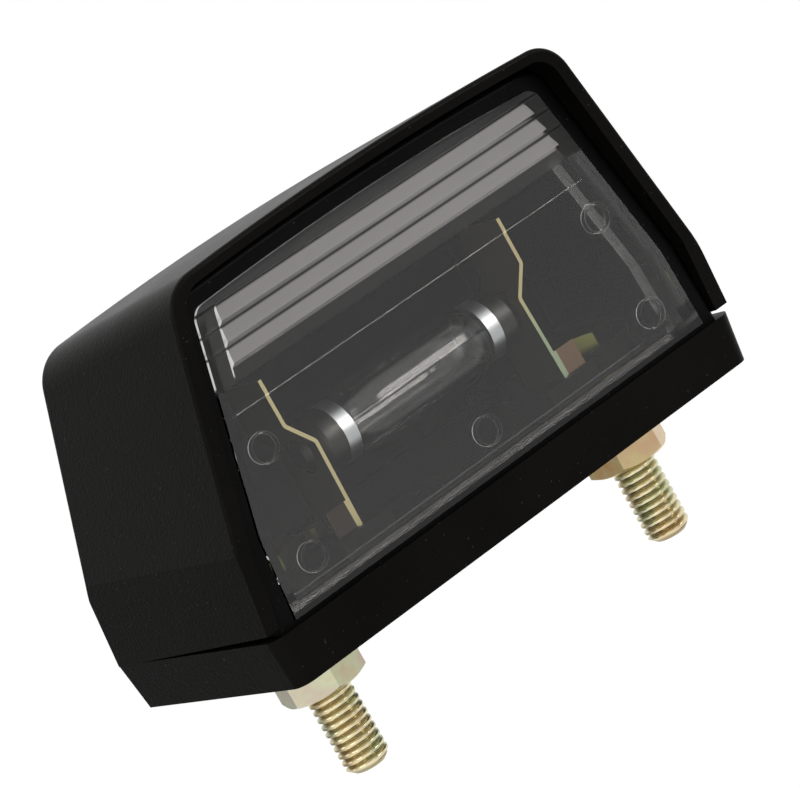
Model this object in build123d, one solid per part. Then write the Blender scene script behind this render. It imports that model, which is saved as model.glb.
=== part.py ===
"""Number plate lamp on two studs: base tray, moulded hood, clear fluted lens and festoon bulb.

Units are millimetres. The origin lies on the mounting face of the base, midway between the
two studs. X runs along the lamp, the lens looks towards -Y, Z points up away from the studs.
"""
import os
from math import cos, radians, sin, tan

from build123d import *

os.makedirs("parts", exist_ok=True)

# Base tray
base_front = 17.3
base_rear = 21.2
base_height = 6.35
base_draft = 5.0
base_wall = 3.2
base_floor = 2.2
base_front_corner = 2.0
base_rear_corner = 0.7

# Hood, outside, given by its steps from the base's top edge up to a bend and on to the roof
hood_overhang = 0.3
hood_front_step = 0.65
hood_rear_step = 1.05
bend_rise = 10.8
bend_draw_in = 0.85
bend_front_swell = 2.1
bend_rear_draw_in = 0.75
roof_rise = 30.15
end_lean = 7.2
visor_lean = 3.45
rear_lean = 6.35
roof_slope = 5.2
roof_crown_radius = 440.0
roof_edge_radius = 5.0
hood_rear_edge = 1.2
hood_front_edge = 0.5
hood_side_wall = 2.0
hood_roof_wall = 1.6
hood_front_lift = 0.9
lens_stop_width = 4.0
lens_stop_thickness = 1.5

# Lens, set in the hood's mouth and leaning forward with it
lens_front_setback = 0.1
lens_lean = 3.8
lens_depth = 6.0
lens_plate = 1.6
lens_wall = 1.7
lens_floor = 1.4
lens_corner = 2.0
flute_count = 3
flute_first_height = 35.2
flute_pitch = 2.4
flute_groove = 0.45
flute_relief = 0.65
flute_base_relief = 0.35
flute_step_height = 33.5
flute_end_inset = 2.7
thick_plate_height = 30.2
thick_plate_step = 0.4
pin_mark_radius = 1.8
pin_mark_depth = 0.12
pin_mark_low_height = 11.7
pin_mark_high_height = 25.4
pin_mark_low_inset = 9.7
pin_mark_high_inset = 10.7

# Rubber seal round the lens
seal_width = 2.3
seal_depth = 4.6
seal_setback = 0.3
seal_foot = 0.4
seal_edge = 0.7
fit_gap = 0.1

# Studs: hexagon screws whose heads are caught in the base, with one nut each
stud_from_strip = 9.2
base_end_margin = 11.5
stud_diameter = 5.9
stud_reach = 16.7
stud_tip_chamfer = 0.7
engaged_diameter = 5.35
engaged_run_out = 0.3
head_turn = 30.0
hex_chamfer = 0.6
stud_hole_diameter = 6.3
hex_across_flats = 10.0
head_height = 4.0
head_seat_height = 8.3
head_pocket_gap = 0.15
head_boss_wall = 1.5
nut_height = 5.9
nut_bore_gap = 0.05
nut_left_turn = 17.0
nut_right_turn = 44.0

# Festoon bulb, held between the contact strips
bulb_axis_height = 20.0
bulb_axis_y = -5.6
bulb_glass_radius = 5.5
bulb_half_length = 18.0
bulb_glass_wall = 0.6
bulb_shoulder_length = 4.6
bulb_neck_length = 2.4
cap_radius = 4.0
cap_wall = 0.4
cap_length = 6.8
cap_cone_length = 2.6
cap_tip_radius = 1.5
lead_radius = 0.2
filament_radius = 0.35
filament_half_length = 5.5

# Contact strips
strip_thickness = 0.5
strip_width = 8.8
strip_foot_height = 3.2
strip_grip_bite = 0.85
strip_foot_step = 0.35
strip_bend_height = 21.3
strip_shoulder_step = 2.65
strip_shoulder_height = 24.8
strip_top_height = 31.0
strip_bend_radius = 0.8
lug_width = 3.2
lug_height = 3.4
flange_depth = 4.0
terminal_screw_radius = 1.1
terminal_screw_reach = 5.0
terminal_head_radius = 1.7
terminal_head_height = 1.3

# Posts of the base that hold the strips
post_height = 10.0
post_wall = 4.0
post_margin = 0.8

# Screws that hold the hood to the base from below
screw_end_inset = 7.6
screw_rear_inset = 7.7
screw_radius = 1.7
screw_head_radius = 3.2
screw_head_height = 2.0
screw_reach = 14.0
slot_width = 0.8
slot_depth = 0.7
pillar_radius = 3.6
pillar_height = 21.0
pillar_bore_depth = 12.0

# Cable inlet
inlet_y = 9.5
inlet_radius = 4.0
inlet_boss_radius = 7.5
inlet_boss_height = 4.0
grommet_flange = 1.6
grommet_flange_height = 1.2
grommet_bore_radius = 2.6
recess_gap = 0.2

# Upstand of the base that the hood slips over
tongue_height = 2.0
tongue_width = 1.3
tongue_front = -8.0

reach = 80.0
strip_grip_x = bulb_half_length - strip_grip_bite
strip_foot_x = strip_grip_x + strip_foot_step
strip_shoulder_x = strip_grip_x + strip_shoulder_step
stud_x = strip_foot_x + stud_from_strip
base_half_length = stud_x + base_end_margin
bulb_glass_half_length = bulb_half_length - cap_length
roof_fall = tan(radians(roof_slope))
lens_fall = tan(radians(lens_lean))
base_growth = base_height * tan(radians(base_draft))
hood_foot_half_length = base_half_length + base_growth + hood_overhang
hood_foot_front = base_front + base_growth - hood_front_step
hood_foot_rear = base_rear + base_growth - hood_rear_step
bend_height = base_height + bend_rise
bend_half_length = hood_foot_half_length - bend_draw_in
bend_front = hood_foot_front + bend_front_swell
bend_rear = hood_foot_rear - bend_rear_draw_in
top_height = bend_height + roof_rise
top_half_length = bend_half_length - end_lean
top_front = bend_front + visor_lean
top_rear = bend_rear - rear_lean
lens_foot_front = hood_foot_front - lens_front_setback
screw_x = base_half_length - screw_end_inset
screw_y = base_rear - screw_rear_inset
side_fall = end_lean / roof_rise
seal_gap = seal_width + 2 * fit_gap
lens_side_inset = hood_side_wall + seal_gap
lens_roof_inset = hood_roof_wall + seal_gap
lens_foot_height = base_height + seal_foot + fit_gap
flute_top = flute_first_height + flute_count * flute_pitch
form_low = base_height - 2 * base_wall
form_high = top_height + reach / 4
strip_front = bulb_axis_y - strip_width / 2
strip_rear = bulb_axis_y + strip_width / 2
cone_start = bulb_half_length - cap_cone_length
neck_radius = cap_radius - cap_wall - fit_gap
neck_end = bulb_glass_half_length + bulb_neck_length
flange_top = post_height + fit_gap + strip_thickness
pocket_radius = (hex_across_flats / 2 + head_pocket_gap) / cos(radians(30))
pocket_depth = post_height - head_seat_height
terminal_x = strip_foot_x + (post_wall + strip_thickness) / 2
terminal_y = strip_rear - flange_depth / 2


def prism_along_y(points):
    """A closed outline of (X, Z) points, carried along Y right through the lamp."""
    outline = Polyline(*[(x, -reach, z) for x, z in points], close=True)
    return extrude(make_face(outline), 2 * reach, dir=(0, 1, 0))


def prism_along_x(points):
    """A closed outline of (Y, Z) points, carried along X right through the lamp."""
    outline = Polyline(*[(-reach, y, z) for y, z in points], close=True)
    return extrude(make_face(outline), 2 * reach, dir=(1, 0, 0))


def upright(x, y, low, high, radius):
    """A round column between two heights."""
    return Pos(x, y, low) * Cylinder(radius, high - low, align=(Align.CENTER, Align.CENTER, Align.MIN))


def block(x_low, x_high, y_low, y_high, z_low, z_high):
    """A box given by its six limits."""
    size = (x_high - x_low, y_high - y_low, z_high - z_low)
    middle = ((x_low + x_high) / 2, (y_low + y_high) / 2, (z_low + z_high) / 2)
    return Pos(*middle) * Box(*size)


def above(z):
    """Everything above a height."""
    return block(-reach, reach, -reach, reach, z, z + 2 * reach)


def half_length_at(z):
    """Half of the hood's outer length at a height above the bend."""
    return bend_half_length - side_fall * (z - bend_height)


def under_roof(inset):
    """Everything below the crowned roof, which falls to the rear; inset lowers it."""
    crown_radius = roof_crown_radius - inset
    rise = top_half_length ** 2 / (2 * roof_crown_radius)
    rear_middle = top_height + rise - roof_fall * (reach + top_front)
    edge = (crown_radius ** 2 - reach ** 2) ** 0.5 - crown_radius - inset
    crown = ThreePointArc((-reach, edge), (0, -inset), (reach, edge))
    sides = Polyline((reach, edge), (reach, -2 * reach), (-reach, -2 * reach), (-reach, edge))
    section = Plane(origin=(0, reach, rear_middle), x_dir=(1, 0, 0), z_dir=(0, -1, roof_fall))
    return extrude(section * make_face(crown.edges() + sides.edges()), 3 * reach)


def lens_plane_y(z, setback):
    """The Y of a plane parallel to the lens at a height, given by its setback from it."""
    return setback - lens_foot_front - lens_fall * (z - base_height)


def leaning_line(setback):
    """Front points, low then high, of a plane parallel to the lens and set back from it."""
    return [(lens_plane_y(z, setback), z) for z in (form_low, form_high)]


def lens_slab(front, back):
    """The space between two planes parallel to the lens, given by their setbacks from it."""
    return prism_along_x(leaning_line(front) + leaning_line(back)[::-1])


def hood_form(side_inset, roof_inset, front_points, corner):
    """The hood's outer form moved inward: tapered ends with a bend, leaning rear, crowned roof."""
    foot = hood_foot_half_length - side_inset
    bend = bend_half_length - side_inset
    top = half_length_at(form_high) - side_inset
    ends = prism_along_y([(-foot, form_low), (foot, form_low), (foot, base_height), (bend, bend_height),
                          (top, form_high), (-top, form_high), (-bend, bend_height), (-foot, base_height)])
    rear_top_height = top_height - roof_fall * (top_front + top_rear)
    rear_fall = rear_lean / (rear_top_height - bend_height)
    rear_high = bend_rear - rear_fall * (form_high - bend_height)
    rear_points = [(rear_high, form_high), (bend_rear, bend_height), (hood_foot_rear, base_height),
                   (hood_foot_rear, form_low)]
    side = prism_along_x(front_points + [(y - side_inset, z) for y, z in rear_points])
    form = ends & side & under_roof(roof_inset)
    inner = bend_half_length - side_inset - side_fall * (top_height - bend_height) - corner
    return fillet([edge for edge in form.edges() if is_roof_edge(edge, inner)], corner)


def is_roof_edge(edge, inner):
    """Whether an edge runs from front to rear where the roof meets an end."""
    run = edge @ 1 - edge @ 0
    high = edge.center().Z > (bend_height + top_height) / 2
    return high and abs(edge.center().X) > inner and abs(run.Y) > 3 * abs(run.Z) + abs(run.X)


def outer_form():
    """The hood's outside, with its front leaning out like a visor above a bend."""
    high = -bend_front - visor_lean / roof_rise * (form_high - bend_height)
    front = [(-hood_foot_front, form_low), (-hood_foot_front, base_height), (-bend_front, bend_height),
             (high, form_high)]
    form = hood_form(0, 0, front, roof_edge_radius)
    rear = form.faces().filter_by(lambda face: face.normal_at().Y > 1 / 2).sort_by(Axis.Z)[-1]
    low = top_height - roof_fall * (top_front + top_rear) - roof_edge_radius
    form = fillet(rear.edges().filter_by(lambda edge: edge.center().Z > low), hood_rear_edge)
    front_face = form.faces().filter_by(lambda face: face.normal_at().Y < -1 / 2).sort_by(Axis.Z)[-1]
    rim = front_face.edges().filter_by(lambda edge: edge.center().Z > bend_height + hood_front_edge)
    return fillet(rim, hood_front_edge)


def inner_form(side_inset, roof_inset, corner):
    """The outer form moved inward and left open at the front."""
    return hood_form(side_inset, roof_inset, [(-reach, form_low), (-reach, form_high)], corner)


def make_hood():
    """The moulded cover: visor mouth, stop for the lens, screw pillars, lifted front foot."""
    cavity_corner = roof_edge_radius - hood_roof_wall
    cavity = inner_form(hood_side_wall, hood_roof_wall, cavity_corner)
    shell = outer_form() - cavity
    stop_front = lens_depth + fit_gap
    ring = cavity & lens_slab(stop_front, stop_front + lens_stop_thickness)
    window = inner_form(hood_side_wall + lens_stop_width, hood_roof_wall + lens_stop_width, lens_corner)
    stop = (ring - window) & above(base_height)
    hood = shell + stop
    for side in (-1, 1):
        pillar = upright(side * screw_x, screw_y, base_height, base_height + pillar_height, pillar_radius)
        hood += pillar & outer_form()
        hood -= upright(side * screw_x, screw_y, base_height, base_height + pillar_bore_depth, screw_radius)
    hood = hood & above(base_height)
    wedge = prism_along_x([(-reach, base_height), (base_rear, base_height),
                           (-hood_foot_front, base_height + hood_front_lift),
                           (-reach, base_height + hood_front_lift)])
    pillars = [upright(side * screw_x, screw_y, base_height, bend_height, pillar_radius) for side in (-1, 1)]
    return hood - (wedge - pillars[0] - pillars[1])


def make_lens():
    """The clear tray: leaning window, thicker at its top, return walls, and a proud fluted block."""
    body = inner_form(lens_side_inset, lens_roof_inset, lens_corner)
    body = body & lens_slab(0, lens_depth) & above(lens_foot_height)
    hollow = inner_form(lens_side_inset + lens_wall, lens_roof_inset + lens_wall, lens_corner / 2)
    hollow = hollow & lens_slab(lens_plate, 2 * lens_depth) & above(lens_foot_height + lens_floor)
    thick = inner_form(lens_side_inset + lens_wall / 2, lens_roof_inset + lens_wall / 2, lens_corner)
    pad = inner_form(lens_side_inset + flute_end_inset, lens_roof_inset + lens_wall / 2, lens_corner / 2)
    pad -= above(flute_top)
    lens = body - hollow
    lens += thick & lens_slab(lens_plate / 2, lens_plate + thick_plate_step) & above(thick_plate_height)
    lens += pad & lens_slab(-flute_base_relief, lens_plate / 2) & above(flute_step_height)
    for index in range(flute_count):
        lens += pad & make_flute(flute_first_height + index * flute_pitch)
    lens += make_pin_mark(0, pin_mark_low_height)
    for side in (-1, 1):
        lens += make_pin_mark(side * (bend_half_length - pin_mark_low_inset), pin_mark_low_height)
        lens += make_pin_mark(side * (bend_half_length - pin_mark_high_inset), pin_mark_high_height)
    return lens


def make_flute(z):
    """One saw-tooth prism along the lens: a steep groove side from z, then a broad leaning face."""
    ridge = z + flute_groove
    top = z + flute_pitch
    low_root = lens_plane_y(z, -flute_base_relief)
    top_root = lens_plane_y(top, -flute_base_relief)
    proud = lens_plane_y(ridge, -flute_base_relief - flute_relief)
    depth = lens_plate / 2
    return prism_along_x([(low_root, z), (proud, ridge), (top_root, top), (top_root + depth, top),
                          (low_root + depth, z)])


def make_pin_mark(x, z):
    """The low round pad that a push-out pin of the mould leaves on the inside of the window."""
    direction = (0, cos(radians(lens_lean)), sin(radians(lens_lean)))
    start = Plane(origin=(x, lens_plane_y(z, lens_plate / 2), z), z_dir=direction)
    height = (lens_plate / 2) * cos(radians(lens_lean)) + pin_mark_depth
    return start * extrude(Circle(pin_mark_radius), height)


def make_seal():
    """The rubber ring round the lens, with a rounded front edge and a thin run under the lens."""
    outer = inner_form(hood_side_wall + fit_gap, hood_roof_wall + fit_gap, roof_edge_radius - hood_roof_wall)
    outer = outer & lens_slab(seal_setback, seal_setback + seal_depth) & above(base_height)
    front = outer.faces().sort_by(lambda face: face.normal_at().Y)[0]
    outer = fillet([edge for edge in front.edges() if edge.center().Z > lens_foot_height], seal_edge)
    inner = inner_form(lens_side_inset - fit_gap, lens_roof_inset - fit_gap, lens_corner)
    return outer - (inner & above(base_height + seal_foot))


def base_outline(z):
    """The base's outline at a height, a rectangle that grows upward with the draft."""
    grow = base_growth * z / base_height
    length = 2 * (base_half_length + grow)
    depth = base_front + base_rear + 2 * grow
    return Pos(0, (base_rear - base_front) / 2, z) * Rectangle(length, depth)


def make_base():
    """The moulded tray: walls, floor, stud bosses with hexagon pockets, strip posts, screw bosses."""
    body = loft([base_outline(0), base_outline(base_height)])
    body = fillet(standing_edges(body).filter_by(lambda edge: edge.center().Y < 0), base_front_corner)
    body = fillet(standing_edges(body).filter_by(lambda edge: edge.center().Y > 0), base_rear_corner)
    tray = block(base_wall - base_half_length, base_half_length - base_wall,
                 base_wall - base_front, base_rear - base_wall, base_floor, base_height + base_wall)
    body -= fillet(tray.edges().filter_by(Axis.Z), base_front_corner)
    body += upright(0, inlet_y, base_floor / 2, inlet_boss_height, inlet_boss_radius)
    body += make_tongue()
    for side in (-1, 1):
        body += upright(side * stud_x, 0, base_floor / 2, post_height, pocket_radius + head_boss_wall)
        body += mirror_to(side, block(strip_foot_x - post_wall, strip_foot_x + post_wall,
                                      strip_front - post_margin, strip_rear + post_margin,
                                      base_floor / 2, post_height))
        body += upright(side * screw_x, screw_y, base_floor / 2, base_height, pillar_radius)
    body -= upright(0, inlet_y, 0, inlet_boss_height, inlet_radius)
    body -= upright(0, inlet_y, 0, grommet_flange_height + recess_gap,
                    inlet_radius + grommet_flange + recess_gap)
    for side in (-1, 1):
        body -= upright(side * stud_x, 0, 0, post_height, stud_hole_diameter / 2)
        pocket = extrude(RegularPolygon(pocket_radius, 6, rotation=head_turn), pocket_depth)
        body -= Pos(side * stud_x, 0, head_seat_height) * pocket
        body -= mirror_to(side, bent_strip(strip_thickness + fit_gap, strip_width + fit_gap))
        body -= mirror_to(side, upright(terminal_x, terminal_y, post_height - terminal_screw_reach,
                                        post_height, terminal_screw_radius))
        body -= upright(side * screw_x, screw_y, 0, base_height, screw_radius + fit_gap)
        body -= upright(side * screw_x, screw_y, 0, screw_head_height + recess_gap,
                        screw_head_radius + recess_gap)
    return body


def standing_edges(shape):
    """The edges that rise from bottom to top at the corners."""
    return shape.edges().filter_by(lambda edge: abs((edge @ 1 - edge @ 0).Z) > base_height / 2)


def mirror_to(side, shape):
    """A shape of the right half, or its mirror image for the left."""
    return shape if side > 0 else mirror(shape, Plane.YZ)


def make_tongue():
    """The low upstand inside the hood's ends and rear."""
    outer = inner_form(hood_side_wall + fit_gap, hood_roof_wall, roof_edge_radius - hood_roof_wall)
    inner = inner_form(hood_side_wall + fit_gap + tongue_width, hood_roof_wall, lens_corner)
    height = base_height + tongue_height
    return (outer - inner) & block(-reach, reach, tongue_front, reach, base_height / 2, height)


def bent_strip(thickness, width):
    """A strip of the right-hand contact's bent form, swept up from its foot."""
    points = [(strip_foot_x, strip_foot_height), (strip_foot_x, post_height),
              (strip_grip_x, strip_bend_height), (strip_shoulder_x, strip_shoulder_height),
              (strip_shoulder_x, strip_top_height)]
    path = FilletPolyline(*[(x, bulb_axis_y, z) for x, z in points], radius=strip_bend_radius)
    section = Plane(origin=path @ 0, x_dir=(0, 1, 0), z_dir=path % 0) * Rectangle(width, thickness)
    return sweep(section, path)


def make_strip(side):
    """A pressed brass strip: slotted foot, hole for the bulb's cone, flared top, lug and flange."""
    strip = bent_strip(strip_thickness, strip_width)
    inner_face = strip_grip_x - strip_thickness / 2
    cone_slope = (cap_radius - cap_tip_radius) / cap_cone_length
    hole_radius = cap_radius - (inner_face - cone_start) * cone_slope + fit_gap
    drill = Rot(0, 90, 0) * Cylinder(hole_radius, 2 * strip_width)
    strip -= Pos(strip_grip_x, bulb_axis_y, bulb_axis_height) * drill
    face = strip_foot_x + strip_thickness / 2
    low = post_height + fit_gap
    strip += block(strip_foot_x, face + lug_width, strip_front, strip_front + strip_thickness,
                   low, low + lug_height)
    strip += block(strip_foot_x, strip_foot_x + post_wall, strip_rear - flange_depth, strip_rear,
                   low, flange_top)
    strip -= upright(terminal_x, terminal_y, low, flange_top, terminal_screw_radius + fit_gap)
    return mirror_to(side, strip)


def make_terminal_screw(side):
    """A small slotted screw that clamps a wire under its head on the strip's flange."""
    low = post_height - terminal_screw_reach
    screw = upright(terminal_x, terminal_y, low, flange_top, terminal_screw_radius)
    top = flange_top + terminal_head_height
    screw += upright(terminal_x, terminal_y, flange_top, top, terminal_head_radius)
    screw -= block(terminal_x - reach, terminal_x + reach, terminal_y - slot_width / 2,
                   terminal_y + slot_width / 2, top - slot_depth, top)
    return mirror_to(side, screw)


def hexagon(low, high, turn):
    """A hexagon block between two heights, its corners cut back by cones at both ends."""
    corner_radius = hex_across_flats / 2 / cos(radians(30))
    body = Pos(0, 0, low) * extrude(RegularPolygon(corner_radius, 6, rotation=turn), high - low)
    drum = upright(0, 0, low, high, corner_radius)
    return body & chamfer(drum.edges().filter_by(GeomType.CIRCLE), hex_chamfer, 2 * hex_chamfer)


def make_stud(side):
    """A hexagon screw standing head up in the base, its shank reaching out below.

    Inside the nut the shank has the thread's pitch diameter, where the two threads meet.
    """
    shank = upright(0, 0, -stud_reach, head_seat_height, stud_diameter / 2)
    shank = chamfer(shank.edges().sort_by(Axis.Z)[0], stud_tip_chamfer)
    threaded = nut_height + engaged_run_out
    shank -= upright(0, 0, -threaded, 0, stud_diameter) - upright(0, 0, -threaded, 0, engaged_diameter / 2)
    head = hexagon(head_seat_height, head_seat_height + head_height, head_turn)
    return Pos(side * stud_x, 0, 0) * (shank + head)


def make_nut(side):
    """A hexagon nut under the base, turned as the photographed one is."""
    turn = nut_left_turn if side < 0 else nut_right_turn
    nut = hexagon(-nut_height, 0, turn)
    bore = engaged_diameter / 2 + nut_bore_gap
    return Pos(side * stud_x, 0, 0) * (nut - upright(0, 0, -nut_height, 0, bore))


def turned(profile):
    """A body turned about the bulb's axis from (X, radius) lines."""
    return Pos(0, bulb_axis_y, bulb_axis_height) * revolve(make_face(profile.edges()), Axis.X)


def glass_body(inset):
    """The bulb's outer body, or with an inset its hollow, turned about the X axis."""
    shoulder = bulb_glass_half_length - bulb_shoulder_length
    radius = bulb_glass_radius - inset
    neck = neck_radius - inset
    body = Line((0, 0, radius), (shoulder, 0, radius))
    turn = TangentArc((shoulder, 0, radius), (bulb_glass_half_length, 0, neck), tangent=(1, 0, 0))
    end = Line((bulb_glass_half_length, 0, neck), (neck_end - inset, 0, neck))
    close = Polyline(end @ 1, ((end @ 1).X, 0, 0), (0, 0, 0), body @ 0)
    half = revolve(make_face(body.edges() + turn.edges() + end.edges() + close.edges()), Axis.X)
    return half + mirror(half, Plane.YZ)


def make_bulb_glass():
    """The blown tube of the festoon bulb, drawn in to a neck at each end and closed there."""
    bulb = glass_body(0) - glass_body(bulb_glass_wall)
    bulb -= Rot(0, 90, 0) * Cylinder(lead_radius + fit_gap / 2, 2 * neck_end)
    return Pos(0, bulb_axis_y, bulb_axis_height) * bulb


def make_cap(side):
    """The drawn metal cap on the glass's neck, ending in the cone that the strip holds."""
    start = bulb_half_length - cap_length
    inner = cap_radius - cap_wall
    tip = cap_tip_radius - cap_wall / 2
    end = bulb_half_length - cap_wall
    outline = Polyline((start, 0, inner), (start, 0, cap_radius), (cone_start, 0, cap_radius),
                       (bulb_half_length, 0, cap_tip_radius), (bulb_half_length, 0, 0), (end, 0, 0),
                       (end, 0, tip), (cone_start, 0, inner), close=True)
    return mirror_to(side, turned(outline))


def make_filament():
    """The filament's coil as a plain rod of its outer size."""
    rod = Rot(0, 90, 0) * Cylinder(filament_radius, 2 * filament_half_length)
    return Pos(0, bulb_axis_y, bulb_axis_height) * rod


def make_lead(side):
    """The straight wire from the filament's end to the inside of the cap's tip."""
    length = bulb_half_length - cap_wall - filament_half_length
    wire = Rot(0, 90, 0) * Cylinder(lead_radius, length)
    middle = filament_half_length + length / 2
    return mirror_to(side, Pos(middle, bulb_axis_y, bulb_axis_height) * wire)


def make_cover_screw(side):
    """The screw driven up from below the base into the hood's pillar."""
    seat = screw_head_height + recess_gap
    screw = upright(0, 0, seat - screw_head_height, seat, screw_head_radius)
    screw += upright(0, 0, seat, screw_reach, screw_radius)
    screw -= block(-reach, reach, -slot_width / 2, slot_width / 2, recess_gap, recess_gap + slot_depth)
    return Pos(side * screw_x, screw_y, 0) * screw


def make_grommet():
    """The rubber grommet in the cable's inlet, with a flange above and one in the underside."""
    top = inlet_boss_height + grommet_flange_height
    outer = inlet_radius + grommet_flange
    grommet = upright(0, inlet_y, 0, top, inlet_radius - fit_gap)
    grommet += upright(0, inlet_y, 0, grommet_flange_height, outer)
    grommet += upright(0, inlet_y, inlet_boss_height + fit_gap, top, outer)
    return grommet - upright(0, inlet_y, 0, top, grommet_bore_radius)


pieces = {
    "base_plate": make_base(),
    "hood": make_hood(),
    "lens": make_lens(),
    "lens_seal": make_seal(),
    "bulb_glass": make_bulb_glass(),
    "bulb_filament": make_filament(),
    "cable_grommet": make_grommet(),
}
for label, hand in (("left", -1), ("right", 1)):
    pieces[f"stud_bolt_{label}"] = make_stud(hand)
    pieces[f"nut_{label}"] = make_nut(hand)
    pieces[f"contact_strip_{label}"] = make_strip(hand)
    pieces[f"terminal_screw_{label}"] = make_terminal_screw(hand)
    pieces[f"bulb_cap_{label}"] = make_cap(hand)
    pieces[f"bulb_lead_{label}"] = make_lead(hand)
    pieces[f"cover_screw_{label}"] = make_cover_screw(hand)
for node, shape in pieces.items():
    export_step(shape, f"parts/{node}.step")
    print(node, round(shape.volume, 2))
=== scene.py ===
# %% [markdown]
# A number plate lamp, dressed for its portrait. The solid parts (hood, base, window, bulb, contact
# strips) come from the engineering model at their real size and place. This notebook gives them their
# finish, cuts the threads that the engineering model leaves plain, winds the filament, and sets up the
# lights and the camera. Everything is in metres, with Z pointing away from the mounting face.

# %% Load the fixed parts
import math

import bpy
import numpy as np
from mathutils import Matrix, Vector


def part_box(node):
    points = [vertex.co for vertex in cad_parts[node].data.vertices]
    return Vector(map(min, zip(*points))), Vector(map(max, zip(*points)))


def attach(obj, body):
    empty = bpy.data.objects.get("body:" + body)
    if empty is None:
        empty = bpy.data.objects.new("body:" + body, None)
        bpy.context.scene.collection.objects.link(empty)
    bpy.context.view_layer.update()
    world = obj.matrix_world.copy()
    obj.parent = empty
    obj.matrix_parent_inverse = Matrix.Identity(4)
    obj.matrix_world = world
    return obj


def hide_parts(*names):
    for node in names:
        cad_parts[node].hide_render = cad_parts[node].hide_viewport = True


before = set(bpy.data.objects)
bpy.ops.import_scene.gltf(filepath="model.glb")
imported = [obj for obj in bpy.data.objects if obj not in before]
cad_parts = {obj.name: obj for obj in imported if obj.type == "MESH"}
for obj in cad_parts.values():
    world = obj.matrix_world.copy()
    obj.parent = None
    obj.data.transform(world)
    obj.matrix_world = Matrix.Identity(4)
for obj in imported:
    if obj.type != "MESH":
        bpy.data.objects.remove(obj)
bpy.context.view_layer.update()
MM = 0.001

# %% [markdown]
# The photograph was taken from the left, a little above the lamp, with the camera rolled so that the
# lamp climbs to the right. The three rows below are the directions of the picture's right, its down and
# the line of sight, all in the lamp's own axes. They were fitted to the corners of the base and hood.
# A camera looks along its own -Z with +Y up, so the rows become the columns of its matrix.

# %% Camera
CAMERA_PLACE = np.array([-225.93, -385.92, 92.17]) * MM
PICTURE_RIGHT = np.array([0.7082, -0.5119, -0.4862])
PICTURE_DOWN = np.array([-0.4965, 0.1285, -0.8585])
FOCAL_PIXELS = 3735.98
PICTURE_WIDTH = 800
SENSOR_WIDTH = 36.0

right = PICTURE_RIGHT / np.linalg.norm(PICTURE_RIGHT)
down = PICTURE_DOWN - right * PICTURE_DOWN.dot(right)
down /= np.linalg.norm(down)
backward = -np.cross(right, down)
camera_data = bpy.data.cameras.new("portrait_camera")
camera_data.sensor_width = SENSOR_WIDTH
camera_data.lens = FOCAL_PIXELS * SENSOR_WIDTH / PICTURE_WIDTH
camera_data.clip_start = 10 * MM
camera = bpy.data.objects.new("portrait_camera", camera_data)
turn = Matrix(np.column_stack([right, -down, backward]).tolist())
camera.matrix_world = Matrix.Translation(CAMERA_PLACE.tolist()) @ turn.to_4x4()
bpy.context.scene.collection.objects.link(camera)
bpy.context.scene.camera = camera
print("camera lens %.1f mm at" % camera_data.lens, CAMERA_PLACE.round(4))

# %% [markdown]
# A small studio is built around the lamp. The flutes of the window are mirrors for whatever lies up and
# to the right of the camera, so the front panel stands just there: the view direction, mirrored in a
# flute, gives its place. The left panel grazes the end of the hood, the top panel draws the pale band
# along its rounded roof edge, and a key panel at the left front lights the nuts.
#
# Everything else around the lamp is white for the camera, for mirrors and for clear plastic, apart from
# two dim patches of room, which only mirrors and clear plastic show: a grey one in front, on the right,
# where the window and the black front look, and a dark one at the left back, which gives the nuts and the
# end of the hood their contrast. Dull surfaces get a plain grey light from all around.

# %% Studio
WARM = (1.0, 0.95, 0.92)


def panel(name, place, target, width, height, radiance, colour=(1.0, 1.0, 1.0)):
    """An area lamp at place that faces target, both in metres; radiance 1 is as bright as paper."""
    data = bpy.data.lights.new(name, "AREA")
    data.shape = "RECTANGLE"
    data.size = width
    data.size_y = height
    data.energy = radiance * math.pi * width * height
    data.color = colour
    lamp = bpy.data.objects.new(name, data)
    away = np.array(place) - np.array(target)
    away = away / np.linalg.norm(away)
    side = np.cross([0.0, 0.0, 1.0], away)
    side = side / np.linalg.norm(side)
    rotation = Matrix(np.column_stack([side, np.cross(away, side), away]).tolist())
    lamp.matrix_world = Matrix.Translation(place) @ rotation.to_4x4()
    lamp.visible_camera = False
    bpy.context.scene.collection.objects.link(lamp)
    return lamp


MIDDLE = (0.0, 0.0, 0.02)
FLUTE_MIDDLE = np.array([0.0, -0.02, 0.037])
FLUTE_TILT = math.radians(15)
FRONT_DISTANCE = 0.8
FRONT_RADIANCE = 7.0
SIDE_RADIANCE = 3.0
SIDE_PANELS = (("left_panel", (-0.60, 0.12, 0.42), 0.45, 0.45), ("top_panel", (0.05, 0.12, 0.75), 0.6, 0.5),
               ("key_panel", (-0.62, -0.48, 0.24), 0.25, 0.45))
sight = np.cross(down, right)
sight = sight if sight[1] > 0 else -sight
flute_normal = np.array([0.0, -math.cos(FLUTE_TILT), math.sin(FLUTE_TILT)])
mirrored = sight - 2 * sight.dot(flute_normal) * flute_normal
front_place = FLUTE_MIDDLE + FRONT_DISTANCE * mirrored
panel("front_panel", front_place.tolist(), FLUTE_MIDDLE.tolist(), 0.36, 0.26, FRONT_RADIANCE, WARM)
for name, place, width, height in SIDE_PANELS:
    panel(name, place, MIDDLE, width, height, SIDE_RADIANCE)
print("front panel at", front_place.round(3))

WHITE = (1.0, 1.0, 1.0, 1.0)
FILL_STRENGTH = 0.45
# Each patch: the direction of its middle, the cosine at its edge, and its level at the middle.
PATCHES = (((0.49, -0.83, -0.26), 0.70, 0.42), ((-0.60, 0.78, -0.18), 0.55, 0.12))


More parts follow.
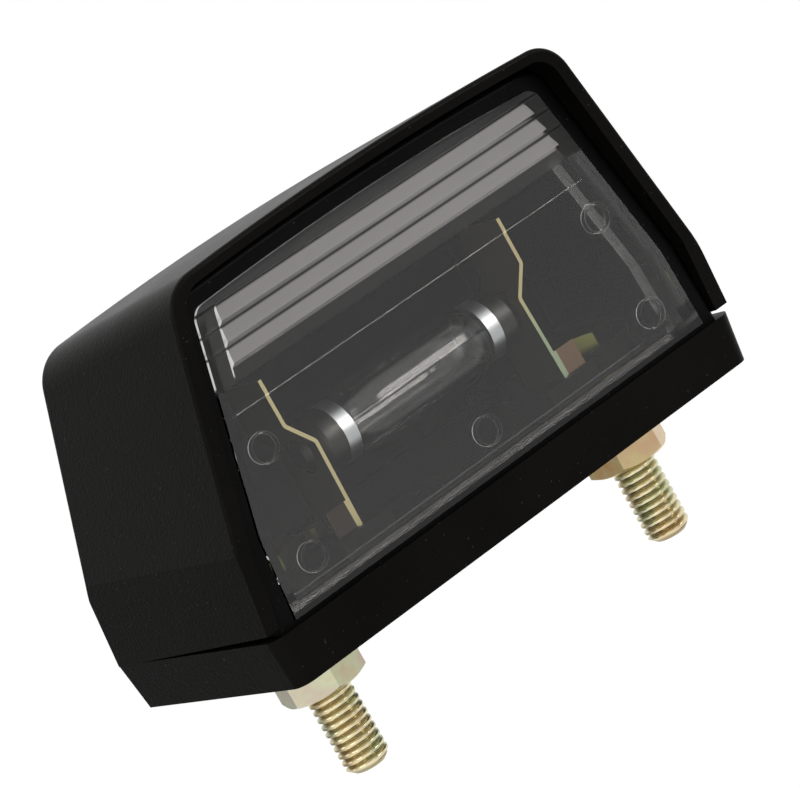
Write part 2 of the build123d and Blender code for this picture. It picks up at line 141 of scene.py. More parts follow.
def maths(tree, operation, *values):
    """A Math node on sockets or plain numbers, giving its output socket."""
    node = tree.nodes.new("ShaderNodeMath")
    node.operation = operation
    for index, value in enumerate(values):
        if isinstance(value, (int, float)):
            node.inputs[index].default_value = value
        else:
            tree.links.new(value, node.inputs[index])
    return node.outputs[0]


def room_level(tree, direction):
    """1 all around, and down to each patch's own level where the direction points at its middle."""
    ahead = tree.nodes.new("ShaderNodeVectorMath")
    ahead.operation = "NORMALIZE"
    tree.links.new(direction, ahead.inputs[0])
    lowest = 1.0
    for middle, edge, dim in PATCHES:
        facing = tree.nodes.new("ShaderNodeVectorMath")
        facing.operation = "DOT_PRODUCT"
        facing.inputs[1].default_value = middle
        tree.links.new(ahead.outputs["Vector"], facing.inputs[0])
        level = tree.nodes.new("ShaderNodeMapRange")
        level.inputs["From Min"].default_value = edge
        level.inputs["To Min"].default_value = 1.0
        level.inputs["To Max"].default_value = dim
        tree.links.new(facing.outputs["Value"], level.inputs["Value"])
        lowest = maths(tree, "MINIMUM", level.outputs["Result"], lowest)
    return lowest


def seen_directly(tree, level):
    """1 for rays from the camera, the level for rays in a mirror or through clear plastic, and else 0."""
    path = tree.nodes.new("ShaderNodeLightPath")
    optical = maths(tree, "MAXIMUM", path.outputs["Is Glossy Ray"], path.outputs["Is Transmission Ray"])
    return maths(tree, "MAXIMUM", path.outputs["Is Camera Ray"], maths(tree, "MULTIPLY", optical, level))


world = bpy.data.worlds.new("studio_world")
world.use_nodes = True
bpy.context.scene.world = world
tree = world.node_tree
tree.nodes.clear()
out = tree.nodes.new("ShaderNodeOutputWorld")
mix = tree.nodes.new("ShaderNodeMixShader")
seen = tree.nodes.new("ShaderNodeBackground")
fill = tree.nodes.new("ShaderNodeBackground")
seen.inputs["Color"].default_value = WHITE
seen.inputs["Strength"].default_value = 1.0
fill.inputs["Color"].default_value = WHITE
fill.inputs["Strength"].default_value = FILL_STRENGTH
sky = tree.nodes.new("ShaderNodeTexCoord")
tree.links.new(seen_directly(tree, room_level(tree, sky.outputs["Generated"])), mix.inputs["Fac"])
tree.links.new(fill.outputs[0], mix.inputs[1])
tree.links.new(seen.outputs[0], mix.inputs[2])
tree.links.new(mix.outputs[0], out.inputs["Surface"])
bpy.context.scene.view_settings.view_transform = "Standard"
print("studio: 4 panels, and a world with", len(PATCHES), "dim patches")

# %% [markdown]
# Materials share a few effects. Each is a node group that puts out only numbers or colours, and the
# shader itself stays in the material, so that other programs can read it too.
#
# The first is the grain of moulded plastic: tiny bumps left by the etched tool, over a slow unevenness
# that shows as cloudy patches in the sheen.

# %% Moulded grain
FINE_GRAIN, COARSE_GRAIN = 3000, 1400
COARSE_SHARE = 0.5
SPECK_LEVEL = 0.83


def object_point(tree):
    """The socket that gives a surface point in the object's own metres."""
    return tree.nodes.new("ShaderNodeTexCoord").outputs["Object"]


def object_axes(tree):
    """The sockets X, Y and Z of a surface point in the object's own metres."""
    axes = tree.nodes.new("ShaderNodeSeparateXYZ")
    tree.links.new(object_point(tree), axes.inputs[0])
    return axes.outputs


def new_group(name, inputs, outputs):
    """A shader node group with named float sockets; gives it, its input values and its results."""
    group = bpy.data.node_groups.new(name, "ShaderNodeTree")
    for labels, way in ((inputs, "INPUT"), (outputs, "OUTPUT")):
        for label in labels:
            group.interface.new_socket(label, in_out=way, socket_type="NodeSocketFloat")
    return group, group.nodes.new("NodeGroupInput").outputs, group.nodes.new("NodeGroupOutput").inputs


def placed(tree, group, **values):
    """The outputs of a group placed in a material with the material's own values."""
    node = tree.nodes.new("ShaderNodeGroup")
    node.node_tree = group
    for label, value in values.items():
        node.inputs[label].default_value = value
    return node.outputs


def noise(tree, scale, detail=2.0, roughness=0.5):
    """A noise texture on object coordinates; scale counts waves in a metre."""
    node = tree.nodes.new("ShaderNodeTexNoise")
    node.inputs["Scale"].default_value = scale
    node.inputs["Detail"].default_value = detail
    node.inputs["Roughness"].default_value = roughness
    tree.links.new(object_point(tree), node.inputs["Vector"])
    return node


def moulded_grain_group():
    """Grain height, cloudiness from 0 to 1, and rare pale dust specks from 0 to 1."""
    group, own, result = new_group("moulded_grain", ("CoarseShare", "SpeckLevel"),
                                   ("Height", "Cloud", "Specks"))
    fine = noise(group, FINE_GRAIN, 1.0)
    coarse = noise(group, COARSE_GRAIN, 1.0)
    cloud = noise(group, 55, 3.0, 0.55)
    dust = noise(group, 2600, 0.0)
    height = maths(group, "MULTIPLY_ADD", coarse.outputs["Fac"], own["CoarseShare"], fine.outputs["Fac"])
    group.links.new(height, result["Height"])
    group.links.new(cloud.outputs["Fac"], result["Cloud"])
    group.links.new(maths(group, "GREATER_THAN", dust.outputs["Fac"], own["SpeckLevel"]), result["Specks"])
    return group


MOULDED_GRAIN = moulded_grain_group()
print("group:", MOULDED_GRAIN.name)

# %% [markdown]
# Hood and base are the same black plastic. It isn't pure black: a face that is seen at a shallow angle
# goes dark grey, because every surface mirrors more at a grazing angle, and the rounded roof edge
# carries a soft pale band. A low specular level keeps the faces that look at the camera deep black, and
# a middling roughness with a fine bump spreads the rest.

# %% Black plastic
DUST_TONE = (0.025, 0.024, 0.023)
PLAIN = (1.0, 1.0, 1.0)


def material(name):
    """A material with its node tree cleared to one Principled shader; gives both."""
    made = bpy.data.materials.new(name)
    made.use_nodes = True
    shader = made.node_tree.nodes["Principled BSDF"]
    return made, made.node_tree, shader


def ramp(tree, source, stops):
    """A colour ramp over a socket; stops are (place, (r, g, b))."""
    node = tree.nodes.new("ShaderNodeValToRGB")
    while len(node.color_ramp.elements) < len(stops):
        node.color_ramp.elements.new(0.5)
    for element, (place, colour) in zip(node.color_ramp.elements, stops):
        element.position = place
        element.color = (*colour, 1.0)
    tree.links.new(source, node.inputs["Fac"])
    return node.outputs["Color"]


def span(tree, source, low, high):
    """A value from 0..1 spread over low..high."""
    node = tree.nodes.new("ShaderNodeMapRange")
    node.inputs["To Min"].default_value = low
    node.inputs["To Max"].default_value = high
    tree.links.new(source, node.inputs["Value"])
    return node.outputs["Result"]


def mixed(tree, share, colour, other):
    """A colour that turns to another, a socket or plain red, green and blue, where share goes to 1."""
    node = tree.nodes.new("ShaderNodeMix")
    node.data_type = "RGBA"
    tree.links.new(share, node.inputs["Factor"])
    tree.links.new(colour, node.inputs["A"])
    if isinstance(other, tuple):
        node.inputs["B"].default_value = (*other, 1.0)
    else:
        tree.links.new(other, node.inputs["B"])
    return node.outputs["Result"]


def multiplied(tree, colour, shade):
    """The product of two colours."""
    node = tree.nodes.new("ShaderNodeMix")
    node.data_type = "RGBA"
    node.blend_type = "MULTIPLY"
    node.inputs["Factor"].default_value = 1.0
    tree.links.new(colour, node.inputs["A"])
    tree.links.new(shade, node.inputs["B"])
    return node.outputs["Result"]


def bump(tree, height, distance):
    """A Bump node's normal from a height socket, distance in metres."""
    node = tree.nodes.new("ShaderNodeBump")
    node.inputs["Distance"].default_value = distance
    tree.links.new(height, node.inputs["Height"])
    return node.outputs["Normal"]


def plastic_material(name, dark, pale, rough_low, rough_high, grain, specular):
    """Black moulded plastic or rubber: cloudy tone, uneven gloss, fine grain and a few specks."""
    made, tree, shader = material(name)
    shader.inputs["Specular IOR Level"].default_value = specular
    grains = placed(tree, MOULDED_GRAIN, CoarseShare=COARSE_SHARE, SpeckLevel=SPECK_LEVEL)
    tone = ramp(tree, grains["Cloud"], [(0.3, dark), (0.7, pale)])
    dusty = mixed(tree, grains["Specks"], tone, DUST_TONE)
    tree.links.new(dusty, shader.inputs["Base Color"])
    tree.links.new(span(tree, grains["Cloud"], rough_low, rough_high), shader.inputs["Roughness"])
    tree.links.new(bump(tree, grains["Height"], grain), shader.inputs["Normal"])
    return made


BLACK_PLASTIC = plastic_material("black_plastic", (0.0022, 0.0020, 0.0017), (0.0038, 0.0035, 0.0030),
                                 0.30, 0.46, 0.04 * MM, 0.045)
SEAL_RUBBER = plastic_material("seal_rubber", (0.002, 0.002, 0.002), (0.004, 0.004, 0.004),
                               0.30, 0.45, 0.003 * MM, 0.045)
print("materials:", BLACK_PLASTIC.name, SEAL_RUBBER.name)

# %% [markdown]
# The window is clear acrylic. Light goes through it to the bulb, so for shadows and dull light it turns
# into plain transparency; otherwise the inside of the lamp would be in the dark. A slow, shallow bump
# stands for the flow of the moulding. The fluted block is a little duller than the flat window, with
# painted shade as dark lines in its grooves, the foot is painted dark as shade along its seal, and round
# marks show where the mould's pins pushed the window out.

# %% Clear plastic and glass
BLOCK_START = 33.45 * MM
BLOCK_ROUGHNESS = 0.29
FOOT_TOP = 8.2 * MM
FOOT_FADE = 0.4 * MM
GROOVES = (37.4, 39.85, 42.3)
GROOVE_WIDTH = 0.22 * MM
# Within 0.3 widths of its middle a groove's line is at its full 1, and it ends at 1.3 widths.
GROOVE_CORE = 1.3
GROOVE_ROUGHNESS = 0.9
GROOVE_SHADE_TONE = (0.05, 0.05, 0.05)
RINGS = ((0.0, 11.7), (28.5, 11.7), (27.5, 25.4))
RING_RADIUS = 1.8 * MM
RING_WIDTH = 0.16 * MM
RING_ROUGHNESS = 0.35
# The rings stand this many times higher than the waves of the flow.
RING_HEIGHT = 8.0


def ring_marks(tree):
    """1 along the round marks that the mould's pins leave in the window, fading to 0 beside them."""
    axes = object_axes(tree)
    across = maths(tree, "ABSOLUTE", axes["X"])
    marks = 0.0
    for x, z in RINGS:
        dx = maths(tree, "SUBTRACT", across, x * MM)
        dz = maths(tree, "SUBTRACT", axes["Z"], z * MM)
        square = maths(tree, "ADD", maths(tree, "MULTIPLY", dx, dx), maths(tree, "MULTIPLY", dz, dz))
        off = maths(tree, "ABSOLUTE", maths(tree, "SUBTRACT", maths(tree, "SQRT", square), RING_RADIUS))
        near = maths(tree, "SUBTRACT", 1.0, maths(tree, "DIVIDE", off, RING_WIDTH))
        marks = maths(tree, "MAXIMUM", near, marks)
    return marks


def window_zones(tree):
    """Three masks by height: the grooves between the flutes, the foot in its seal, the fluted block."""
    level = object_axes(tree)["Z"]
    lines = 0.0
    for height in GROOVES:
        off = maths(tree, "ABSOLUTE", maths(tree, "SUBTRACT", level, height * MM))
        near = maths(tree, "SUBTRACT", GROOVE_CORE, maths(tree, "DIVIDE", off, GROOVE_WIDTH))
        lines = maths(tree, "MAXIMUM", near, lines)
    foot = maths(tree, "DIVIDE", maths(tree, "SUBTRACT", FOOT_TOP, level), FOOT_FADE)
    block = maths(tree, "GREATER_THAN", level, BLOCK_START)
    return maths(tree, "MINIMUM", lines, 1.0), maths(tree, "MINIMUM", foot, 1.0), block


def clear_material(name, tint, index, wave_scale, wave_height, shadow_tint, marked=False):
    """A clear body that bends light for the eye and lets shadows and dull light straight through."""
    made, tree, shader = material(name)
    shader.inputs["Base Color"].default_value = (*tint, 1.0)
    shader.inputs["Transmission Weight"].default_value = 1.0
    shader.inputs["IOR"].default_value = index
    wave = noise(tree, wave_scale, 1.0)
    surface = wave.outputs["Fac"]
    shader.inputs["Roughness"].default_value = 0.0
    if marked:
        marks = ring_marks(tree)
        lines, foot, block = window_zones(tree)
        worn = maths(tree, "MULTIPLY", lines, GROOVE_ROUGHNESS)
        polish = maths(tree, "MULTIPLY_ADD", marks, RING_ROUGHNESS, worn)
        polish = maths(tree, "MAXIMUM", polish, maths(tree, "MULTIPLY", block, BLOCK_ROUGHNESS))
        tree.links.new(polish, shader.inputs["Roughness"])
        # Painted shade: the grooves' lines and the foot turn the tint to a dark tone.
        groove_and_foot_shade = maths(tree, "MAXIMUM", lines, foot)
        shade = ramp(tree, groove_and_foot_shade, [(0.0, tint), (1.0, GROOVE_SHADE_TONE)])
        tree.links.new(shade, shader.inputs["Base Color"])
        surface = maths(tree, "MULTIPLY_ADD", marks, RING_HEIGHT, surface)
    tree.links.new(bump(tree, surface, wave_height), shader.inputs["Normal"])
    clear = tree.nodes.new("ShaderNodeBsdfTransparent")
    clear.inputs["Color"].default_value = (*shadow_tint, 1.0)
    mix = tree.nodes.new("ShaderNodeMixShader")
    path = tree.nodes.new("ShaderNodeLightPath")
    dull = maths(tree, "MULTIPLY", path.outputs["Is Glossy Ray"], path.outputs["Is Reflection Ray"])
    dull = maths(tree, "SUBTRACT", dull, path.outputs["Is Singular Ray"])
    dull = maths(tree, "MAXIMUM", dull, path.outputs["Is Diffuse Ray"])
    tree.links.new(maths(tree, "MAXIMUM", path.outputs["Is Shadow Ray"], dull), mix.inputs["Fac"])
    tree.links.new(shader.outputs[0], mix.inputs[1])
    tree.links.new(clear.outputs[0], mix.inputs[2])
    tree.links.new(mix.outputs[0], tree.nodes["Material Output"].inputs["Surface"])
    return made


CLEAR_ACRYLIC = clear_material("clear_acrylic", (0.97, 0.97, 0.96), 1.49, 45, 0.004 * MM,
                               (0.93, 0.93, 0.92), marked=True)
BULB_GLASS = clear_material("bulb_glass", (0.99, 0.99, 0.99), 1.36, 60, 0.01 * MM,
                            (0.95, 0.95, 0.95))
print("materials:", CLEAR_ACRYLIC.name, BULB_GLASS.name)

# %% [markdown]
# Metals. The studs are steel with yellow passivated zinc, which drifts from straw to olive; the nuts are
# paler, with the green and rose of a thinner film, and the right one is more golden. Both drifts are slow
# noise through a colour ramp. The second group is the fine surface of all the metals, whose noise scatters
# the gloss.

# %% Metals
METAL_GRAIN = 3500


def metal_surface_group():
    """A fine surface's height, and a roughness that goes from a low to a high value with it."""
    group, own, result = new_group("metal_surface", ("RoughLow", "RoughHigh"), ("Height", "Roughness"))
    fine = noise(group, METAL_GRAIN, 3.0, 0.6)
    group.links.new(fine.outputs["Fac"], result["Height"])
    rough = group.nodes.new("ShaderNodeMapRange")
    group.links.new(own["RoughLow"], rough.inputs["To Min"])
    group.links.new(own["RoughHigh"], rough.inputs["To Max"])
    group.links.new(fine.outputs["Fac"], rough.inputs["Value"])
    group.links.new(rough.outputs["Result"], result["Roughness"])
    return group


METAL_SURFACE = metal_surface_group()


def metal_shading(tree, shader, colour, rough_low, rough_high, grain):
    """Joins a colour to a metal shader, with uneven gloss and a fine surface."""
    shader.inputs["Metallic"].default_value = 1.0
    surface = placed(tree, METAL_SURFACE, RoughLow=rough_low, RoughHigh=rough_high)
    tree.links.new(colour, shader.inputs["Base Color"])
    tree.links.new(surface["Roughness"], shader.inputs["Roughness"])
    tree.links.new(bump(tree, surface["Height"], grain), shader.inputs["Normal"])


STUD_X = (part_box("stud_bolt_right")[0][0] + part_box("stud_bolt_right")[1][0]) / 2
FULL_SHADE_RADIUS, NO_SHADE_RADIUS = 2.50 * MM, 2.85 * MM
ROOT_SHADE_TONE = (0.45, 0.42, 0.34)
HEAD_SHADE_TONE = (0.20, 0.22, 0.10)
RIM_END = 13.1 * MM
RIM_TONE = (0.62, 0.64, 0.67)
RIGHT_GOLD = (1.12, 0.90, 0.68)


def painted_thread_shade(tree, colour):
    """Darkens a colour with painted shade at the bottom of a stud's thread, and with a darker painted shade
    on its head inside the lamp.
    """
    axes = object_axes(tree)
    off = maths(tree, "SUBTRACT", maths(tree, "ABSOLUTE", axes["X"]), STUD_X)
    square = maths(tree, "ADD", maths(tree, "MULTIPLY", off, off),
                   maths(tree, "MULTIPLY", axes["Y"], axes["Y"]))
    depth = tree.nodes.new("ShaderNodeMapRange")
    depth.inputs["From Min"].default_value = FULL_SHADE_RADIUS
    depth.inputs["From Max"].default_value = NO_SHADE_RADIUS
    tree.links.new(maths(tree, "SQRT", square), depth.inputs["Value"])
    # Painted shade: the thread's colour goes darker towards its root.
    shade = ramp(tree, depth.outputs["Result"], [(0.0, ROOT_SHADE_TONE), (1.0, PLAIN)])
    # Painted shade: the head, above the mounting face inside the lamp, is darkened.
    inside = maths(tree, "GREATER_THAN", axes["Z"], 0.0)
    head = ramp(tree, inside, [(0.0, PLAIN), (1.0, HEAD_SHADE_TONE)])
    return multiplied(tree, multiplied(tree, colour, shade), head)


def bright_rim(tree, colour):
    """Keeps the nickel's own pale colour on the rim of a bulb's cap, next to the glass, and leaves the rest
    of the cap painted near black as shade.
    """
    rim = maths(tree, "LESS_THAN", maths(tree, "ABSOLUTE", object_axes(tree)["X"]), RIM_END)
    return mixed(tree, rim, colour, RIM_TONE)


def golden_right(tree, colour):
    """Warms a colour on the right nut, whose plating came out more golden than the left one's."""
    on_right = maths(tree, "GREATER_THAN", object_axes(tree)["X"], 0.0)
    return multiplied(tree, colour, ramp(tree, on_right, [(0.0, PLAIN), (1.0, RIGHT_GOLD)]))


def metal_material(name, stops, colour_scale, rough_low, rough_high, grain, zone=None):
    """A metal with a slow drift of colour along stops, uneven gloss and a fine surface.

    A zone is a function that changes the colour on a part of the piece.
    """
    made, tree, shader = material(name)
    drift = noise(tree, colour_scale, 3.0, 0.6)
    colour = ramp(tree, drift.outputs["Fac"], stops)
    if zone:
        colour = zone(tree, colour)
    metal_shading(tree, shader, colour, rough_low, rough_high, grain)
    return made


YELLOW_ZINC = metal_material("yellow_zinc", [(0.3, (0.72, 0.58, 0.35)), (0.48, (0.80, 0.72, 0.48)),
                                             (0.6, (0.60, 0.63, 0.40)), (0.75, (0.76, 0.60, 0.47))],
                             230, 0.22, 0.40, 0.006 * MM, painted_thread_shade)
PALE_ZINC = metal_material("pale_zinc", [(0.3, (0.58, 0.42, 0.26)), (0.46, (0.57, 0.58, 0.39)),
                                         (0.58, (0.56, 0.50, 0.38)), (0.7, (0.56, 0.45, 0.36))],
                           170, 0.22, 0.40, 0.006 * MM, golden_right)
# Painted shade: the caps are near black, apart from the rims next to the glass, which keep the nickel's own
# colour.
SHADED_CAP_NICKEL = metal_material("cap_nickel_painted_shade", [(0.3, (0.03, 0.03, 0.028)), (0.7, (0.06, 0.058, 0.055))],
                            300, 0.25, 0.5, 0.01 * MM, bright_rim)
SCREW_STEEL = metal_material("screw_steel", [(0.3, (0.50, 0.49, 0.46)), (0.7, (0.68, 0.66, 0.60))],
                             300, 0.3, 0.5, 0.01 * MM)
TUNGSTEN = metal_material("tungsten", [(0.3, (0.12, 0.12, 0.12)), (0.7, (0.22, 0.22, 0.21))],
                          900, 0.3, 0.5, 0.004 * MM)
# Painted shade: the terminal screws' brass is painted near black.
SHADED_BRASS = metal_material("brass_painted_shade", [(0.35, (0.04, 0.03, 0.015)), (0.65, (0.15, 0.14, 0.055))],
                            500, 0.3, 0.5, 0.008 * MM)
print("metals: yellow and pale zinc, nickel, steel, tungsten, dull brass")

# %% [markdown]
# The contact strips are pressed from brass and age unevenly: pale straw, and on the right one a cool green
# below. The lugs carry painted shade, a copper brown on the right one and almost black on the left one.
# Height above the mounting face tells these zones apart, shifted a little by noise so that no border is
# straight.

# %% Aged brass
STRAW, GREENISH, COPPER_SHADE = (0.52, 0.46, 0.26), (0.34, 0.41, 0.28), (0.17, 0.11, 0.07)
SHADED_LUG = (0.035, 0.026, 0.020)
GREEN_BELOW, STRAW_ABOVE = 8.0 * MM, 30.0 * MM
WANDER = 6.0 * MM
LUG_START = 18.0 * MM
LUG_TOP = 13.6 * MM


def brass_material():
    """Brass whose colour follows its height and, beyond the strip's outer face, turns to a painted shade of
    copper brown.
    """
    made, tree, shader = material("aged_brass_shaded_lugs")
    axes = object_axes(tree)
    drift = noise(tree, 240, 3.0, 0.6)
    wander = maths(tree, "MULTIPLY_ADD", drift.outputs["Fac"], WANDER, -WANDER / 2)
    level = tree.nodes.new("ShaderNodeMapRange")
    level.inputs["From Min"].default_value = GREEN_BELOW
    level.inputs["From Max"].default_value = STRAW_ABOVE
    tree.links.new(maths(tree, "ADD", axes["Z"], wander), level.inputs["Value"])
    on_left = maths(tree, "LESS_THAN", axes["X"], 0.0)
    strip = ramp(tree, maths(tree, "MAXIMUM", level.outputs["Result"], on_left),
                 [(0.0, GREENISH), (0.34, GREENISH), (0.55, STRAW)])
    # Painted shade: the right lug is painted copper brown, the left one almost black.
    lug_shade = ramp(tree, on_left, [(0.0, COPPER_SHADE), (1.0, SHADED_LUG)])
    beyond = maths(tree, "GREATER_THAN", maths(tree, "ABSOLUTE", axes["X"]), LUG_START)
    below = maths(tree, "LESS_THAN", axes["Z"], LUG_TOP)
    colour = mixed(tree, maths(tree, "MULTIPLY", beyond, below), strip, lug_shade)
    metal_shading(tree, shader, colour, 0.28, 0.5, 0.008 * MM)
    return made


PALE_BRASS = brass_material()
print("brass:", PALE_BRASS.name)

# %% [markdown]
# New shapes are surfaces on a grid of rows and columns, where each row is a closed loop around the axis.
# One helper builds them all: it joins row to row, and then either closes both ends with a fan to a middle
# point, for a solid such as a screw, or joins the last row to the first, for a ring such as a nut.

# %% Turned surfaces
def around(columns, start_degrees=0.0):
    """The angles of a row's columns, once round from the start."""
    return math.radians(start_degrees) + np.linspace(0, 2 * math.pi, columns, endpoint=False)[None, :]


def turned_mesh(name, x, y, radius, height, sharp_degrees, ring=False, start_degrees=0.0):
    """A closed body from two grids, radius and height, rows along it and columns around it.

    A point of row r, column c lies at (x, y) + radius[r, c] * (cos, sin) of its angle, at height[r, c].
    The angle goes once round over the columns. Rows run so that faces look outward.
    """
    rows, columns = radius.shape
    angle = around(columns, start_degrees)
    points = np.stack([x + radius * np.cos(angle), y + radius * np.sin(angle), height], axis=-1)
    points = points.reshape(-1, 3)
    index = np.arange(rows * columns).reshape(rows, columns)
    after = np.roll(index, -1, axis=1)
    if ring:
        above, above_after = np.roll(index, -1, axis=0), np.roll(after, -1, axis=0)
        faces = np.stack([index, after, above_after, above], axis=-1).reshape(-1, 4).tolist()
    else:
        faces = np.stack([index[:-1], after[:-1], after[1:], index[1:]], axis=-1).reshape(-1, 4).tolist()
        ends = np.array([[x, y, height[0].mean()], [x, y, height[-1].mean()]])
        points = np.concatenate([points, ends])
        first, last = rows * columns, rows * columns + 1
        faces += np.stack([after[0], index[0], np.full(columns, first)], axis=-1).tolist()
        faces += np.stack([index[-1], after[-1], np.full(columns, last)], axis=-1).tolist()
    mesh = bpy.data.meshes.new(name)
    mesh.from_pydata(points.tolist(), [], faces)
    mesh.validate()
    mesh.shade_smooth()
    mesh.set_sharp_from_angle(angle=math.radians(sharp_degrees))
    piece = bpy.data.objects.new(name, mesh)
    bpy.context.scene.collection.objects.link(piece)
    return piece


def dress(piece, finish, slot_name, *nodes):
    """Gives a new piece its finish, hangs it under the root body and hides the engineering parts it takes
    the place of.
    """
    piece.data.materials.clear()
    piece.data.materials.append(finish)
    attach(piece, "root")
    if nodes:
        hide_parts(*nodes)
    return piece


print("helper ready: turned_mesh")

# %% [markdown]
# The studs carry a metric thread of 1 mm pitch. A thread is a helix: at a height z and an angle a, the
# place within one turn is the fraction of z / pitch - a / full turn. The section is a trapezoid, with a
# narrow flat crest and a flank each side, so the radius is a clipped triangle wave of that fraction. A
# cone clips the tip, as the die's lead-in does, and the head is a hexagon whose corners a cone cuts back.

# %% Studs with real threads
PITCH = 1.0 * MM
THREAD_DEPTH = 0.46 * MM
CREST_RADIUS = 2.95 * MM
CREST_CLIP = 0.32
ROOT_CLIP = 0.10
TIP_CUT = 0.9 * MM
TIP_SLOPE = 1.1
COLUMNS = 96
ROWS_A_TURN = 14
FLATS = 10.0 * MM
CHAMFER_SLOPE = math.tan(math.radians(30))
HEAD_HEIGHT = 4.0 * MM
HEAD_FACE = 0.97
HEAD_TURN = 30
STUD_SHARP = 40


def thread_wave(height, angle, pitch):
    """0 at the root and 1 at the crest of a clipped triangle wave that climbs one pitch a turn."""
    place = np.mod(height / pitch - angle / (2 * math.pi), 1.0)
    triangle = 1 - np.abs(2 * place - 1)
    return np.clip((triangle - ROOT_CLIP) / (1 - ROOT_CLIP - CREST_CLIP), 0, 1)


def hexagon_radius(angle, flats, turn_degrees):
    """The distance from the middle to a hexagon's side, at each angle, with a corner at the turn."""
    sector = math.pi / 3
    within = np.mod(angle - math.radians(turn_degrees), sector) - sector / 2
    return flats / 2 / np.cos(within)


def stud(name, node):
    """A hexagon screw standing on its head: threaded from the tip up to the head."""
    low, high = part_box(node)
    x = (low[0] + high[0]) / 2
    tip, top = low[2], high[2]
    seat = top - HEAD_HEIGHT
    angle = around(COLUMNS, HEAD_TURN)
    turns = (seat - tip) / PITCH
    level = np.linspace(tip, seat, int(turns * ROWS_A_TURN))[:, None]
    wave = thread_wave(level, angle, PITCH)
    radius = CREST_RADIUS - THREAD_DEPTH * (1 - wave)
    cone = CREST_RADIUS - TIP_CUT + (level - tip) * TIP_SLOPE
    radius = np.minimum(radius, cone)
    height = np.broadcast_to(level, radius.shape)
    hexagon = hexagon_radius(angle, FLATS, HEAD_TURN)
    face = FLATS / 2 * HEAD_FACE
    rim = top - np.maximum(hexagon - face, 0) * CHAMFER_SLOPE
    flat = np.ones((1, COLUMNS))
    radii = np.concatenate([radius, hexagon, hexagon, flat * face])
    heights = np.concatenate([height, flat * seat, rim, flat * top])
    return turned_mesh(name, x, 0.0, radii, heights, STUD_SHARP, start_degrees=HEAD_TURN)


for side in ("left", "right"):
    piece = stud(f"threaded_stud_{side}", f"stud_bolt_{side}")
    dress(piece, YELLOW_ZINC, "zinc_steel", f"stud_bolt_{side}")
    print(piece.name, len(piece.data.polygons), "faces")

# %% [markdown]
# The nuts are hexagons with both faces' corners cut back by a cone of 30 degrees. Their rows run up the
# outside and back down the bore, so that the shape is a ring with no end caps.

# %% Nuts
NUT_BORE = 3.0 * MM
NUT_LIP = 0.35 * MM
NUT_FACE = 0.96
NUT_SHARP = 20
NUT_TURNS = {"left": 17.0, "right": 44.0}


def nut(name, node, turn_degrees):
    """A hexagon nut around its stud, 10 mm across flats, its bore a little wider than the stud."""
    low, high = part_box(node)
    x = (low[0] + high[0]) / 2
    bottom, top = low[2], high[2]
    angle = around(COLUMNS, turn_degrees)
    hexagon = hexagon_radius(angle, FLATS, turn_degrees)
    face = FLATS / 2 * NUT_FACE
    drop = np.maximum(hexagon - face, 0) * CHAMFER_SLOPE
    mouth = NUT_BORE + NUT_LIP
    flat = np.ones((1, COLUMNS))
    radii = np.concatenate([flat * NUT_BORE, flat * mouth, flat * face, hexagon, hexagon, flat * face,
                            flat * mouth, flat * NUT_BORE])
    heights = np.concatenate([flat * (bottom + NUT_LIP), flat * bottom, flat * bottom, bottom + drop,
                              top - drop, flat * top, flat * top, flat * (top - NUT_LIP)])
    return turned_mesh(name, x, 0.0, radii, heights, NUT_SHARP, ring=True, start_degrees=turn_degrees)


for side, turn_degrees in NUT_TURNS.items():
    piece = nut(f"hexagon_nut_{side}", f"nut_{side}", turn_degrees)
    dress(piece, PALE_ZINC, "nut_steel", f"nut_{side}")
    print(piece.name, len(piece.data.polygons), "faces")

# %% [markdown]
# The filament is a fine wire wound into a coil along the bulb's axis. Its centre line is a helix: one
# turn for every pitch along X. The tube around it is a ring of points in the plane of the two directions
# that are square to the line, which are worked out for the whole line at once.

# %% Filament
WIRE_RADIUS = 0.055 * MM
COIL_PITCH = 0.24 * MM
STEPS_A_TURN = 12
WIRE_SIDES = 6


def filament():
    """A coil of wire in the box of the engineering model's plain rod."""
    low, high = (np.array(corner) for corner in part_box("bulb_filament"))
    middle = (low + high) / 2
    coil_radius = (high[2] - low[2]) / 2 - WIRE_RADIUS
    length = high[0] - low[0] - 2 * WIRE_RADIUS
    turns = length / COIL_PITCH
    turn = np.linspace(0, 2 * math.pi * turns, int(turns * STEPS_A_TURN))
    line = np.stack([low[0] + WIRE_RADIUS + turn / (2 * math.pi) * COIL_PITCH,
                     middle[1] + coil_radius * np.cos(turn),
                     middle[2] + coil_radius * np.sin(turn)], axis=-1)
    outward = np.stack([np.zeros_like(turn), np.cos(turn), np.sin(turn)], axis=-1)
    forward = np.gradient(line, axis=0)
    forward /= np.linalg.norm(forward, axis=1)[:, None]
    across = np.cross(forward, outward)
    ring = np.linspace(0, 2 * math.pi, WIRE_SIDES, endpoint=False)
    tube = (line[:, None] + WIRE_RADIUS * (np.cos(ring)[None, :, None] * outward[:, None]
                                           + np.sin(ring)[None, :, None] * across[:, None]))
    index = np.arange(len(line) * WIRE_SIDES).reshape(len(line), WIRE_SIDES)
    after = np.roll(index, -1, axis=1)
    faces = np.stack([index[:-1], index[1:], after[1:], after[:-1]], axis=-1).reshape(-1, 4).tolist()
    faces += [index[0].tolist(), index[-1][::-1].tolist()]
    mesh = bpy.data.meshes.new("filament_coil")
    mesh.from_pydata(tube.reshape(-1, 3).tolist(), [], faces)
    mesh.validate()
    mesh.shade_smooth()
    piece = bpy.data.objects.new("filament_coil", mesh)
    bpy.context.scene.collection.objects.link(piece)
    return piece


piece = dress(filament(), TUNGSTEN, "filament_metal", "bulb_filament")
print(piece.name, len(piece.data.polygons), "faces")

# %% [markdown]
# The parts that keep their own mesh only need a finish in their material slots.

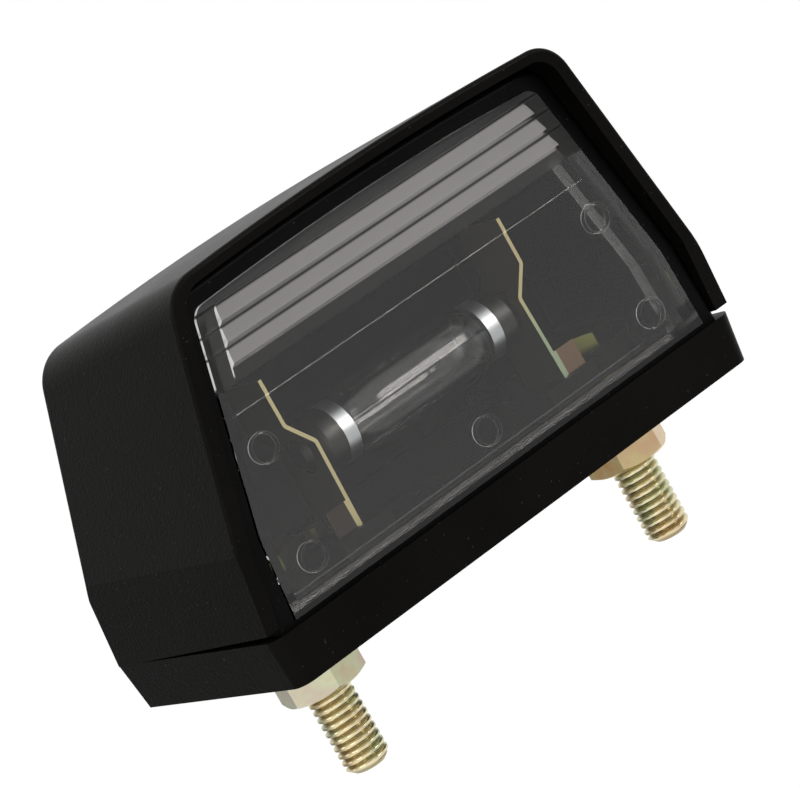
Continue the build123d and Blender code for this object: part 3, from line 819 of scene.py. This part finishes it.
# %% Finishes of the fixed parts
FINISHES = {
    "base_plate": BLACK_PLASTIC, "hood": BLACK_PLASTIC, "lens": CLEAR_ACRYLIC, "lens_seal": SEAL_RUBBER,
    "bulb_glass": BULB_GLASS, "cable_grommet": SEAL_RUBBER,
}
for side in ("left", "right"):
    FINISHES[f"contact_strip_{side}"] = PALE_BRASS
    FINISHES[f"terminal_screw_{side}"] = SHADED_BRASS
    FINISHES[f"bulb_cap_{side}"] = SHADED_CAP_NICKEL
    FINISHES[f"bulb_lead_{side}"] = TUNGSTEN
    FINISHES[f"cover_screw_{side}"] = SCREW_STEEL
for node, finish in FINISHES.items():
    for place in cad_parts[node].material_slots:
        place.material = finish
print("dressed:", len(FINISHES), "parts")

# %% [markdown]
# A plain pale floor, far below the studs. To the camera, in mirrors and through clear plastic it shows
# nearly all as the backdrop's white, and the rest as lit paint, so that a shadow still darkens it a little.
# From below it is clear, so that the lamp's underside can be looked at through it.

# %% Floor
FLOOR_DROP = 0.22
FLOOR_HALF = 3.0
GLOW_SHARE = 0.85
GLOW_STRENGTH = 1.1


def floor_material():
    """Soft white paint, of which most shows as plain white where it is seen directly."""
    made, tree, shader = material("pale_floor")
    shader.inputs["Roughness"].default_value = 0.9
    level = room_level(tree, object_point(tree))
    tone = noise(tree, 3, 2.0)
    paint = ramp(tree, tone.outputs["Fac"], [(0.3, (0.90, 0.90, 0.90)), (0.7, (0.93, 0.93, 0.93))])
    tree.links.new(multiplied(tree, paint, level), shader.inputs["Base Color"])
    glow = tree.nodes.new("ShaderNodeEmission")
    glow.inputs["Color"].default_value = WHITE
    glow.inputs["Strength"].default_value = GLOW_STRENGTH
    mix = tree.nodes.new("ShaderNodeMixShader")
    seen = seen_directly(tree, level)
    tree.links.new(maths(tree, "MULTIPLY", seen, GLOW_SHARE), mix.inputs["Fac"])
    tree.links.new(shader.outputs[0], mix.inputs[1])
    tree.links.new(glow.outputs[0], mix.inputs[2])
    below = tree.nodes.new("ShaderNodeMixShader")
    clear = tree.nodes.new("ShaderNodeBsdfTransparent")
    tree.links.new(tree.nodes.new("ShaderNodeNewGeometry").outputs["Backfacing"], below.inputs["Fac"])
    tree.links.new(mix.outputs[0], below.inputs[1])
    tree.links.new(clear.outputs[0], below.inputs[2])
    tree.links.new(below.outputs[0], tree.nodes["Material Output"].inputs["Surface"])
    return made


corners = [(FLOOR_HALF * x, FLOOR_HALF * y, -FLOOR_DROP) for x, y in ((-1, -1), (1, -1), (1, 1), (-1, 1))]
floor_mesh = bpy.data.meshes.new("floor")
floor_mesh.from_pydata(corners, [], [(0, 1, 2, 3)])
floor = bpy.data.objects.new("floor", floor_mesh)
floor_mesh.materials.append(floor_material())
bpy.context.scene.collection.objects.link(floor)
print("floor at", -FLOOR_DROP)
